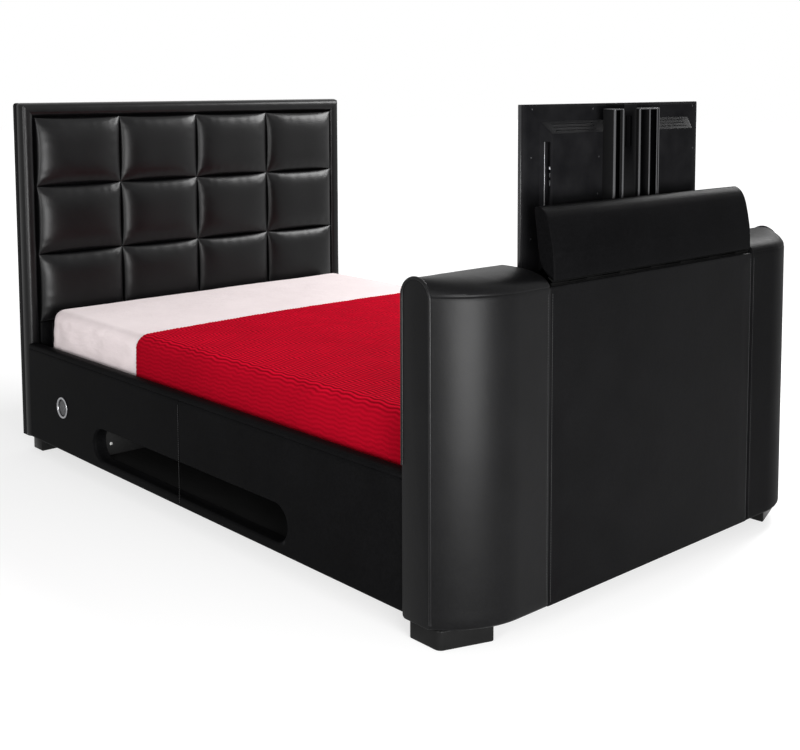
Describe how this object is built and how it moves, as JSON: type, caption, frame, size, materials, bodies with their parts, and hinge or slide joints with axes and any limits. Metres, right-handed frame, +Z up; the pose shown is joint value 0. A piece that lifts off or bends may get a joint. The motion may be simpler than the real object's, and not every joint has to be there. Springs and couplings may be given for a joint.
{
  "type": "tv bed",
  "caption": "Double bed with a padded square-panel headboard, bedding and a rounded footboard whose lid is open over a raised flat television on a telescopic lift.",
  "frame": {"origin": "on the floor, in the middle of the bed's footprint", "axes": "+X across the bed (the pictured long side is -X), +Y towards the headboard, +Z up"},
  "size_m": [1.502, 2.222, 1.2732],
  "materials": {
    "black_leather": "black faux leather with a fine grain and a satin sheen",
    "piping_leather": "black faux leather piping",
    "foot_plastic": "black, slightly glossy",
    "dark_board": "black-faced board",
    "pine": "plain planed softwood",
    "white_sheeting": "white cotton with a faint warm tint",
    "ticking": "off-white mattress cover",
    "red_throw": "crimson ribbed bedspread",
    "tv_plastic": "black moulded plastic",
    "screen_glass": "black screen, switched off",
    "dark_steel": "black painted steel",
    "dark_aluminium": "black anodised extrusion",
    "zinc_steel": "zinc plated",
    "satin_silver": "satin silver",
    "grey_mesh": "grey perforated sheet"
  },
  "bodies": {
    "bed": {"blanket": "red_throw", "centre_beam": "pine", "centre_leg": "pine", "fitted_sheet": "white_sheeting", "foot_front_left": "foot_plastic", "foot_front_right": "foot_plastic", "foot_rear_left": "foot_plastic", "foot_rear_right": "foot_plastic", "footboard_arm_left": "black_leather", "footboard_arm_right": "black_leather", "footboard_back_panel": "black_leather", "footboard_floor": "dark_board", "footboard_front_panel": "black_leather", "headboard_border_left": "black_leather", "headboard_border_right": "black_leather", "headboard_border_top": "black_leather", "headboard_core": "black_leather", "headboard_lower_panel": "black_leather", "headboard_tile_r1c1": "black_leather", "headboard_tile_r1c2": "black_leather", "headboard_tile_r1c3": "black_leather", "headboard_tile_r1c4": "black_leather", "headboard_tile_r2c1": "black_leather", "headboard_tile_r2c2": "black_leather", "headboard_tile_r2c3": "black_leather", "headboard_tile_r2c4": "black_leather", "headboard_tile_r3c1": "black_leather", "headboard_tile_r3c2": "black_leather", "headboard_tile_r3c3": "black_leather", "headboard_tile_r3c4": "black_leather", "lid_hinge_fixed_leaf": "dark_steel", "lift_actuator_tube": "zinc_steel", "lift_fixed_frame": "dark_aluminium", "lift_gear_base": "dark_aluminium", "lift_motor": "dark_steel", "mattress": "ticking", "media_shelf_back": "dark_board", "media_shelf_end_foot": "dark_board", "media_shelf_end_head": "dark_board", "media_shelf_floor": "dark_board", "media_shelf_top": "dark_board", "piping_left": "piping_leather", "piping_right": "piping_leather", "side_rail_left": "black_leather", "side_rail_right": "black_leather", "slat_ledger_left": "pine", "slat_ledger_right": "pine", "slat_set": "pine", "speaker_driver": "dark_steel", "speaker_grille": "grey_mesh", "speaker_ring": "satin_silver"},
    "lift_middle": {"lift_middle_stage": "dark_aluminium", "lift_actuator_rod": "zinc_steel"},
    "tv_carriage": {"lift_carriage": "dark_aluminium", "tv_hook_plate": "dark_steel", "tv_bezel": "tv_plastic", "tv_rear_cover": "tv_plastic", "tv_screen": "screen_glass"},
    "lid_body": {"lid": "black_leather", "lid_hinge_moving_leaf": "dark_steel"}
  },
  "joints": [
    {"name": "tv_lift", "type": "slide", "parent": "bed", "child": "tv_carriage", "axis": [0, 0, 1], "range_m": [-0.5, 0]},
    {"name": "lift_middle_slide", "type": "slide", "parent": "bed", "child": "lift_middle", "axis": [0, 0, 1], "range_m": [-0.25, 0]},
    {"name": "lid_hinge", "type": "hinge", "parent": "bed", "child": "lid_body", "pos_m": [0, -1.1008, 0.8405], "axis": [1, 0, 0], "range_deg": [-5, 20]}
  ],
  "couplings": [
    {"joint": "lift_middle_slide", "follows": "tv_lift", "ratio": 0.5}
  ]
}
